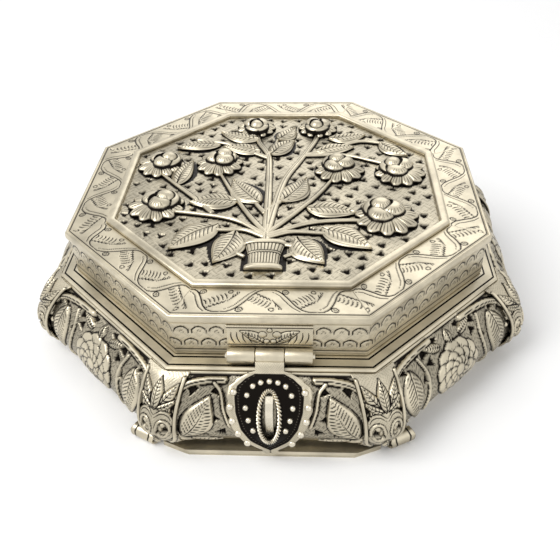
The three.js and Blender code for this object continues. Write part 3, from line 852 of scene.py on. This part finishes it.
# %% [markdown]
# ## The skirt, the moulding and the edge band
# The lid's wall is chased with two rows of scallops, one hanging from each edge. The moulding
# and the edge band are plain, rounded strips, bright because hands polish them.

# %% Skirt
SKIRT_LOW, SKIRT_HIGH = 30.3, 43.4
SCALLOPS = 11


def skirt_drawing(a, b):
    high = (SKIRT_HIGH - SKIRT_LOW) / 2
    made = Drawing(a * SKIRT_HALF * TAN, b * high)
    pitch = 2 * SKIRT_HALF * TAN / SCALLOPS
    for row, foot in enumerate((1.6, -3.2)):
        for k in range(SCALLOPS + row):
            cx = (k + 0.5 - row / 2 - SCALLOPS / 2) * pitch
            arch = [(cx - 2.1, foot), (cx - 1.9, foot + 1.6), (cx, foot + 2.7),
                    (cx + 1.9, foot + 1.6), (cx + 2.1, foot)]
            made.chase(arch, 0.26, 0.16, 1.0, 0.5)
            made.chase([(cx - 0.7, foot + 0.2), (cx, foot + 1.4), (cx + 0.7, foot + 0.2)],
                       0.15, 0.1, 0.7)
    made.cut(slice(None), 1 - ((made.y + 4.7) / 0.22) ** 2, 0.15)
    made.dark = np.maximum(made.dark, 0.22 * stipple(made.x, made.y, 0.8) * (np.abs(made.y) < 4.6))
    return made


def skirt_side(index):
    def placed(a, b, h):
        z = (SKIRT_LOW + SKIRT_HIGH) / 2 + b * (SKIRT_HIGH - SKIRT_LOW) / 2
        return on_side(index, a * SKIRT_HALF * TAN, SKIRT_HALF + h, z)
    return sheet("skirt_" + SIDE_NAMES[index], 160, 38, placed, skirt_drawing, wall=1.0, depth=0.6,
                 reach=1)


for index in range(8):
    dressed(skirt_side(index), "lid", "lid_skirt")

# %% [markdown]
# A plain strip is swept round the octagon: a small rounded outline is placed at each of the
# eight corners, and neighbouring outlines are bridged. It gives true mitres.

# %% Rounded strips


def octagon_strip(name, outline):
    """outline is a closed list of half width and height."""
    clear_selection()
    count = len(outline)
    ring = [(half * CORNER * math.cos(math.radians(-67.5 + 45 * k)) * MM,
             half * CORNER * math.sin(math.radians(-67.5 + 45 * k)) * MM,
             z * MM) for k in range(8) for half, z in outline]
    faces = [(k * count + i, k * count + (i + 1) % count,
              (k + 1) % 8 * count + (i + 1) % count, (k + 1) % 8 * count + i)
             for k in range(8) for i in range(count)]
    mesh = bpy.data.meshes.new(name)
    mesh.from_pydata(ring, [], faces)
    made = bpy.data.objects.new(name, mesh)
    bpy.context.scene.collection.objects.link(made)
    made.select_set(True)
    bpy.context.view_layer.objects.active = made
    bpy.ops.object.mode_set(mode="EDIT")
    bpy.ops.mesh.select_all(action="SELECT")
    bpy.ops.mesh.normals_make_consistent(inside=False)
    bpy.ops.object.mode_set(mode="OBJECT")
    bpy.ops.object.shade_smooth_by_angle(angle=math.radians(35))
    mesh.materials.append(plain)
    return made


def rounded(centre, height, wide, high, count=20, power=2.6):
    turns = [2 * math.pi * i / count for i in range(count)]
    return [(centre + wide / 2 * math.copysign(abs(math.cos(t)) ** (2 / power), math.cos(t)),
             height + high / 2 * math.copysign(abs(math.sin(t)) ** (2 / power), math.sin(t)))
            for t in turns]


ridge = octagon_strip("ridge", rounded(RIDGE_HALF, 46.6, 3.0, 2.0))
dressed(ridge, "lid", "lid_ridge")
edge = octagon_strip("edge_band", rounded(69.75, 44.5, 1.3, 3.1))
dressed(edge, "lid", "lid_edge_band")

# %% [markdown]
# ## The tree
# Each leaf is a small sheet of its own with real veins. A stem is a half-round wire, thicker at
# the vase. They are joined to one piece, as the tree is in the frame.

# %% Tree
RELIEF = LID_TOP + 0.05


def relief_leaf(number, leaf):
    x0, y0, x1, y1, half = leaf
    long = math.hypot(x1 - x0, y1 - y0)
    dx, dy = (x1 - x0) / long, (y1 - y0) / long
    bend = 0.06 * long * (1 if number % 2 else -1)

    def across_leaf(a, b):
        t = np.clip((b + 1) / 2, 0.004, 0.996)
        return t, a * half * np.sin(np.pi * t ** 0.8)

    def drawn(a, b):
        t, s = across_leaf(a, b)
        crown = 1.25 * (1 - np.abs(a) ** 4) * (0.6 + 0.4 * np.sin(np.pi * t)) + 0.35
        cup = 0.25 * np.cos(2 * np.pi * a)
        stroke = np.abs(((t * long - 0.75 * np.abs(s)) / 1.55) % 1.0 - 0.5)
        duty = 0.17 * (1.1 - 0.7 * np.abs(a))
        veins = np.clip(1 - (stroke / duty) ** 2, 0, 1) * (np.abs(a) > 0.1) * (np.abs(a) < 0.7)
        veins *= (t > 0.1) * (t < 0.9)
        rib = np.clip(1 - (s / (0.28 * (1.15 - t))) ** 2, 0, 1) * (t < 0.93)
        rim = np.clip(1 - (np.abs(np.abs(a) * half - (half - 0.75)) / 0.16) ** 2, 0, 1) * 0.6
        rim *= (t > 0.06) * (t < 0.94)
        side = np.clip((np.abs(a) - 0.95) / 0.05, 0, 1)
        high = crown - cup * (1 - np.abs(a)) - 0.16 * veins - 0.25 * rib - 0.1 * rim
        return high, np.maximum.reduce([0.95 * veins, rib, rim, side])

    def placed(a, b, h):
        t, s = across_leaf(a, b)
        s = s + bend * np.sin(np.pi * t)
        return x0 + dx * long * t - dy * s, y0 + dy * long * t + dx * s, RELIEF + h

    return sheet(f"leaf_{number}", 40, 84, placed, drawn, floor_z=RELIEF - 0.3, reach=1, depth=0.6)


def relief_stem(number, points):
    line = smooth_line(points, 8)
    steps = np.concatenate([[0], np.cumsum(np.hypot(*np.diff(line, axis=0).T))])
    direction = np.gradient(line, axis=0)
    direction /= np.linalg.norm(direction, axis=1)[:, None]
    thick = 1.45 if number < 2 else 0.95

    def placed(a, b, h):
        along = (b + 1) / 2 * steps[-1]
        cx, cy = np.interp(along, steps, line[:, 0]), np.interp(along, steps, line[:, 1])
        dx, dy = np.interp(along, steps, direction[:, 0]), np.interp(along, steps, direction[:, 1])
        wide = thick * (1.15 - 0.45 * (b + 1) / 2)
        return cx - dy * a * wide, cy + dx * a * wide, RELIEF + h

    def drawn(a, b):
        groove = np.clip(1 - (a / 0.16) ** 2, 0, 1) * (0.8 if number < 2 else 0.35)
        high = 1.1 * np.sqrt(np.clip(1 - a ** 2, 0, 1)) - 0.15 * groove
        return high, np.maximum(0.8 * groove, np.clip((np.abs(a) - 0.8) / 0.2, 0, 1))

    return sheet(f"stem_{number}", 16, int(steps[-1] * 2), placed, drawn, floor_z=RELIEF - 0.3,
                 reach=1, depth=0.6)


HANDLES = [[(-9.4, -35.8), (-12.2, -37.2), (-12, -40.4), (-9.2, -42.6)],
           [(3.4, -35.8), (6.2, -37.2), (6, -40.4), (3.2, -42.6)]]
tree = joined("tree", [relief_leaf(i, leaf) for i, leaf in enumerate(LEAVES)]
              + [relief_stem(i, points) for i, points in enumerate(STEMS + HANDLES)])
dressed(tree, "lid", "tree_relief", material=worked)
print("tree has", len(tree.data.polygons), "faces")

# %% Vase


def vase_half(b):
    return np.interp(b, [-1, -0.82, -0.7, -0.1, 0.3, 0.7, 0.82, 1],
                     [6.2, 6.2, 5.0, 5.2, 5.8, 6.4, 7.1, 7.1])


def vase_drawing(a, b):
    flutes = np.abs(((a * 5.5) % 1.0) - 0.5)
    fluted = (np.abs(b) < 0.74) * (np.abs(b - 0.12) > 0.07)
    grooves = np.clip(1 - ((flutes - 0.5) / 0.14) ** 2, 0, 1) * fluted
    bands = np.zeros_like(a)
    for line in (0.76, -0.76, 0.19, 0.05):
        bands = np.maximum(bands, np.clip(1 - ((b - line) / 0.035) ** 2, 0, 1))
    high = 1.9 * np.sqrt(np.clip(1 - np.abs(a) ** 3, 0, 1)) - 0.3 * grooves - 0.2 * bands
    high += 0.25 * (np.abs(b) > 0.8)
    side = np.clip((np.abs(a) - 0.94) / 0.06, 0, 1)
    return high, np.maximum.reduce([0.9 * grooves, bands, side])


vase = sheet("vase_body", 88, 84,
             lambda a, b, h: (-3 + a * vase_half(b), -42 + b * 7, RELIEF + h), vase_drawing,
             floor_z=RELIEF - 0.3, depth=0.5)
dressed(vase, "lid", "vase")

# %% [markdown]
# A flower head is seen from the side, as in old flower drawings: a fan of ruffled, ribbed petals
# hangs below, and a bud of overlapping petals closes over it. It is one sheet, raised high.

# %% Flower heads


def flower_head(number, spot):
    cx, cy, radius, nods = spot
    nod = math.radians(nods)
    nx, ny = math.cos(nod), math.sin(nod)
    lobes = 5.5

    def flat_place(a, b):
        turn = a * np.pi
        reach = (b + 1) / 2
        wave = 1 - 0.17 * np.abs(np.sin((turn - nod) * lobes)) ** 3
        r = reach * radius * wave
        return r * np.cos(turn), r * np.sin(turn), turn, reach

    def drawn(a, b):
        x, y, turn, reach = flat_place(a, b)
        forward, side = x * nx + y * ny, -x * ny + y * nx
        outer = np.clip(reach * 2 - 0.7, 0, 1)
        valley = np.clip(1 - (np.abs(np.cos((turn - nod) * lobes)) / 0.16) ** 2, 0, 1) * outer
        rib = np.abs(((turn - nod) * lobes * 4 / np.pi) % 1.0 - 0.5)
        ribs = np.clip(1 - ((rib - 0.5) / 0.16) ** 2, 0, 1) * np.clip(reach * 3 - 1.2, 0, 1)
        ribs *= np.clip((0.93 - reach) / 0.05, 0, 1)
        high = 2.3 * np.sqrt(np.clip(1.03 - reach ** 3.2, 0, 1)) - 0.25 * ribs - 0.7 * valley
        dark = np.maximum(0.75 * ribs, valley)
        for push, lean, size, top in ((-0.26, 0.0, 0.60, 4.2), (-0.02, -0.2, 0.42, 4.5),
                                      (-0.05, 0.22, 0.40, 4.9), (-0.36, 0.02, 0.34, 5.3)):
            ox, oy = forward - push * radius, side - lean * radius
            d = np.hypot(ox, oy) / (size * radius)
            petal = 2.0 + (top - 2.0) * np.sqrt(np.clip(1 - d ** 2.6, 0, 1))
            edge = np.clip(1 - (np.abs(d - 1.0) * size * radius / 0.32) ** 2, 0, 1)
            strokes = np.abs((np.arctan2(oy, ox) * 9 / np.pi) % 1.0 - 0.5)
            cut = np.clip(1 - ((strokes - 0.5) / 0.13) ** 2, 0, 1)
            cut = cut * (d > 0.55) * (d < 0.86) * (ox > 0)
            high = np.where(d < 1, petal - 0.15 * cut, high)
            dark = np.where(d < 1, 0.7 * cut, dark)
            dark = np.maximum(dark, edge)
        return high, np.maximum(dark, np.clip((reach - 0.95) / 0.05, 0, 1))

    def placed(a, b, h):
        x, y, _, _ = flat_place(a, b)
        return cx + x, cy + y, RELIEF + h

    return sheet(f"flower_{number}", 240, 48, placed, drawn, floor_z=RELIEF - 0.3, depth=0.8,
                 reach=1)


for number, spot in enumerate(FLOWERS, start=1):
    dressed(flower_head(number, spot), "lid", f"flower_head_{number}")
print("flowers dressed")

# %% [markdown]
# ## The hasp
# The hasp is a lobed shield with a slot for the catch. It carries two rows of grains and a
# collar of twisted wire round the slot, and it hangs from a knuckle on the front hinge.

# %% Hasp
HASP_CURVE = profile_curve(HASP, 200)
HASP_LONG = float(HASP_CURVE[0][-1])
SHIELD_W = [-1.0, -0.93, -0.86, -0.8, -0.73, -0.62, -0.45, -0.2, 0.1, 0.36, 0.54, 0.66, 0.75,
            0.8, 1.0]
SHIELD_HALF = [0.3, 1.9, 2.7, 2.3, 2.9, 4.9, 8.0, 10.7, 12.2, 12.5, 11.8, 9.4, 6.4, 4.2, 4.2]
SLOT_MIDDLE, SLOT_LONG, SLOT_WIDE = 0.0, 0.42, 2.1


def hasp_point(u, w, lift):
    along, half, z, out_h, out_z = HASP_CURVE
    h, zz = np.interp(w, along, half), np.interp(w, along, z)
    oh, oz = np.interp(w, along, out_h), np.interp(w, along, out_z)
    return u, -(h + oh * lift), zz + oz * lift


def hasp_outline(b):
    return np.interp(b, SHIELD_W, SHIELD_HALF)


def hasp_side(flip):
    def spread(a, b):
        inner = SLOT_WIDE * np.sqrt(np.clip(1 - ((b - SLOT_MIDDLE) / SLOT_LONG) ** 2, 0, 1)) ** 0.6
        lobes = 1 + 0.07 * (np.abs(np.sin(b * 10.5)) - 0.5) * (np.abs(b) < 0.7)
        outer = hasp_outline(b) * lobes
        return flip * (inner + (a + 1) / 2 * (outer - inner))

    def drawn(a, b):
        u, w = np.abs(spread(a, b)), b * HASP_LONG
        edge = hasp_outline(b) - u
        plate = b < 0.74
        rim = np.interp(b, [0.4, 0.7], [0.7, 0.2]) * np.sqrt(
            np.clip(1 - ((edge - 1.3) / 1.5) ** 2, 0, 1))
        bead = 0.4 * np.clip(1 - ((edge - 3.4) / 0.35) ** 2, 0, 1) * (
            0.5 + 0.5 * np.cos(w * 2 * np.pi / 0.8))
        field = -0.15 + 0.1 * stipple(u, w, 0.7)
        high = np.where(plate, np.maximum.reduce([rim, bead, field]), 0.3)
        dark = np.where(plate & (edge > 2.5) & (b > -0.84), 0.94 - 1.0 * bead, 0.0)
        dark = np.maximum(dark, plate * np.clip(1 - ((edge - 2.6) / 0.3) ** 2, 0, 1))
        pits = np.where(plate, 0.3 * stipple(u, w, 0.6), 0.25 * stipple(u, w, 0.7))
        dark = np.maximum(dark, pits)
        return high, np.clip(dark, 0, 1)

    def placed(a, b, h):
        return hasp_point(spread(a, b), b * HASP_LONG, 1.1 + h)

    return sheet("hasp_half", 64, 190, placed, drawn, wall=1.0, depth=0.5, reach=1)


def grain(name, u, b, radius, lift=1.4):
    clear_selection()
    x, y, z = hasp_point(u, b * HASP_LONG, lift)
    bpy.ops.mesh.primitive_ico_sphere_add(subdivisions=2, radius=radius * MM,
                                          location=(x * MM, y * MM, z * MM))
    made = bpy.context.object
    made.name = name
    bpy.ops.object.transform_apply(location=True, rotation=True, scale=True)
    bpy.ops.object.shade_smooth()
    made.data.materials.append(wire)
    return made


def rope(name, points, wire_radius, strand_radius, turns, closed=True):
    """Two wires twisted round one another along a path of x, y, z and outward points."""
    path = np.array(points)
    count = len(path)
    ahead = np.roll(path, -1, 0) - np.roll(path, 1, 0) if closed else np.gradient(path, axis=0)
    ahead /= np.linalg.norm(ahead, axis=1)[:, None]
    up = np.array([0, -0.5, 0.86])
    side = np.cross(ahead, up)
    side /= np.linalg.norm(side, axis=1)[:, None]
    over = np.cross(side, ahead)
    strands = []
    for strand in range(2):
        turn = 2 * np.pi * turns * np.arange(count) / count + np.pi * strand
        centre = path + strand_radius * (
            np.cos(turn)[:, None] * side + np.sin(turn)[:, None] * over)
        rounds = [centre + wire_radius * (math.cos(k) * side + math.sin(k) * over)
                  for k in np.linspace(0, 2 * math.pi, 7)[:-1]]
        verts = np.stack(rounds, 1).reshape(-1, 3) * MM
        faces = [(i * 6 + k, i * 6 + (k + 1) % 6, (i + 1) % count * 6 + (k + 1) % 6,
                  (i + 1) % count * 6 + k) for i in range(count) for k in range(6)]
        mesh = bpy.data.meshes.new(name)
        mesh.from_pydata(verts.tolist(), [], faces)
        made = bpy.data.objects.new(name, mesh)
        bpy.context.scene.collection.objects.link(made)
        clear_selection()
        made.select_set(True)
        bpy.context.view_layer.objects.active = made
        bpy.ops.object.mode_set(mode="EDIT")
        bpy.ops.mesh.select_all(action="SELECT")
        bpy.ops.mesh.normals_make_consistent(inside=False)
        bpy.ops.object.mode_set(mode="OBJECT")
        bpy.ops.object.shade_smooth()
        mesh.materials.append(wire)
        strands.append(made)
    return joined(name, strands)


def rod(name, radius, from_x, to_x, y, z, material):
    """A rod along X with softly rounded ends."""
    clear_selection()
    bpy.ops.mesh.primitive_cylinder_add(
        vertices=40, radius=radius * MM, depth=(to_x - from_x) * MM,
        location=((from_x + to_x) / 2 * MM, y * MM, z * MM), rotation=(0, math.pi / 2, 0))
    made = bpy.context.object
    made.name = name
    bpy.ops.object.transform_apply(location=True, rotation=True, scale=True)
    bevel = made.modifiers.new("soft", "BEVEL")
    bevel.width = 0.25 * MM
    bevel.segments = 3
    bevel.limit_method = "ANGLE"
    bpy.ops.object.modifier_apply(modifier=bevel.name)
    bpy.ops.object.shade_smooth_by_angle(angle=math.radians(40))
    made.data.materials.append(material)
    return made


shield = joined("shield", [hasp_side(1), hasp_side(-1)])
knuckle = rod("hasp_knuckle", KNUCKLE_R, -4.2, 4.2, -HINGE_Y, HINGE_Z, plain)
grains = []
INNER_GRAINS = [(2.5, 0.6), (4.8, 0.54), (6.5, 0.39), (6.9, 0.18), (6.1, -0.03), (4.8, -0.22)]
OUTER_GRAINS = [(10.4, 0.44), (11.4, 0.2), (10.8, -0.04), (9.2, -0.28), (6.6, -0.5)]
for flip in (1, -1):
    grains += [grain("grain", flip * u, b, 0.95, 1.3) for u, b in INNER_GRAINS]
    grains += [grain("grain", flip * u, b, 1.2, 1.4) for u, b in OUTER_GRAINS]
grains.append(grain("grain", 0, 0.62, 0.95, 1.3))
oval = [hasp_point(3.1 * math.cos(t), (SLOT_MIDDLE + 0.47 * math.sin(t)) * HASP_LONG, 1.6)
        for t in np.linspace(0, 2 * math.pi, 241)[:-1]]
collar = rope("slot_collar", oval, 0.42, 0.36, 22)
hasp = joined("hasp_shield", [shield, knuckle, collar] + grains)
dressed(hasp, "hasp", "hasp", slot="dark_silver")
print("hasp has", len(hasp.data.polygons), "faces")

# %% [markdown]
# ## Hinges
# The front hinge's plate is engraved with a leaf and berries, and has a knuckle at each end. The
# rear hinge keeps the frame's own leaves and pins, in plain silver.

# %% Front hinge plate
PLATE_HALF, PLATE_LOW, PLATE_HIGH = 12.6, 34.6, 42.6


def plate_drawing(a, b):
    made = Drawing(a * PLATE_HALF, b * (PLATE_HIGH - PLATE_LOW) / 2)
    made.dark += 0.18 * stipple(made.x, made.y, 0.7)
    for flip in (1, -1):
        made.leaf(flip * 1.6, -2.6, flip * 8.6, 2.2, 1.7, 0.4, 1.0, bend=0.5 * flip)
        for k in range(4):
            x = flip * (5.2 + 1.7 * k)
            made.chase([(x, -2.8), (x + flip * 0.9, -0.8), (x + flip * 1.0, 1.6)], 0.2, 0.12)
        made.berry(flip * 2.1, 0.8, 1.15, 0.35)
        made.berry(flip * 1.0, -1.9, 0.8, 0.35)
    made.berry(0, 2.4, 0.7, 0.3)
    made.cut(slice(None), 1 - ((np.abs(made.y) - 3.3) / 0.2) ** 2, 0.15)
    return made


def plate_place(a, b, h):
    z = (PLATE_LOW + PLATE_HIGH) / 2 + b * (PLATE_HIGH - PLATE_LOW) / 2
    return a * PLATE_HALF, -(SKIRT_HALF + 1.2 + h), z


hinge_plate = sheet("plate", 150, 52, plate_place, plate_drawing, wall=0.8, depth=0.5, reach=1)
ends = [rod("end", KNUCKLE_R, 4.4, 12.6, -HINGE_Y, HINGE_Z, plain),
        rod("end", KNUCKLE_R, -12.6, -4.4, -HINGE_Y, HINGE_Z, plain)]
hinge_plate = joined("front_hinge_plate", [hinge_plate] + ends)
dressed(hinge_plate, "lid", "hasp_hinge_plate")

# %% [markdown]
# ## Feet and plain parts
# A foot is a strip of silver rolled to a scroll. It stands beside a corner of the front or the
# rear, at an angle in degrees from the right. The rest of the frame's pieces have the right shape
# already, and take a finish only.

# %% Feet
FOOT_R, FOOT_OUT = 2.5, 86.7


def foot(name, corner):
    turns = np.linspace(0, 2.3 * math.pi, 60)
    reach = FOOT_R - 0.25 * turns / math.pi
    lead = [(83.2, 3.6), (84.2, 1.5), (85.3, 0.3)]
    strip = np.array(lead + [(FOOT_OUT + r * math.sin(t), FOOT_R - r * math.cos(t))
                             for t, r in zip(turns, reach)])
    steps = np.concatenate([[0], np.cumsum(np.hypot(*np.diff(strip, axis=0).T))])
    angle = math.radians(corner)

    def placed(a, b, h):
        along = (b + 1) / 2 * steps[-1]
        out, z = np.interp(along, steps, strip[:, 0]), np.interp(along, steps, strip[:, 1])
        wide = a * 4.4 * (1 - 0.12 * np.abs(np.sin(along * 0.6)))
        return (np.cos(angle) * out - np.sin(angle) * wide,
                np.sin(angle) * out + np.cos(angle) * wide, np.maximum(z, 0.02))

    def drawn(a, b):
        lines = np.clip(1 - (np.abs(np.abs(a) - 0.6) / 0.07) ** 2, 0, 1)
        return -0.1 * lines, np.maximum(lines, 0.3 * np.abs(b) ** 4)

    return sheet(name, 32, 90, placed, drawn, wall=0.55, depth=0.4, reach=1)


for name, corner in (("foot_front_right", -62.5), ("foot_front_left", -117.5),
                     ("foot_rear_right", 62.5), ("foot_rear_left", 117.5)):
    dressed(foot("scroll_" + name, corner), "base", name)

# %% Finishes on the frame's own pieces
# The body's rim takes the finish with two thin lines of painted shade.
OWN = {"base_floor": inside, "base_ring": plain, "body_rim": rim_shaded, "inner_collar": inside,
       "hasp_catch": wire, "rear_hinge_body_leaf": plain, "rear_hinge_pin": wire,
       "rear_hinge_lid_leaf": plain, "hasp_hinge_pin": wire}
for name, material in OWN.items():
    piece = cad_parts[name]
    piece.data.materials.clear()
    piece.data.materials.append(material)
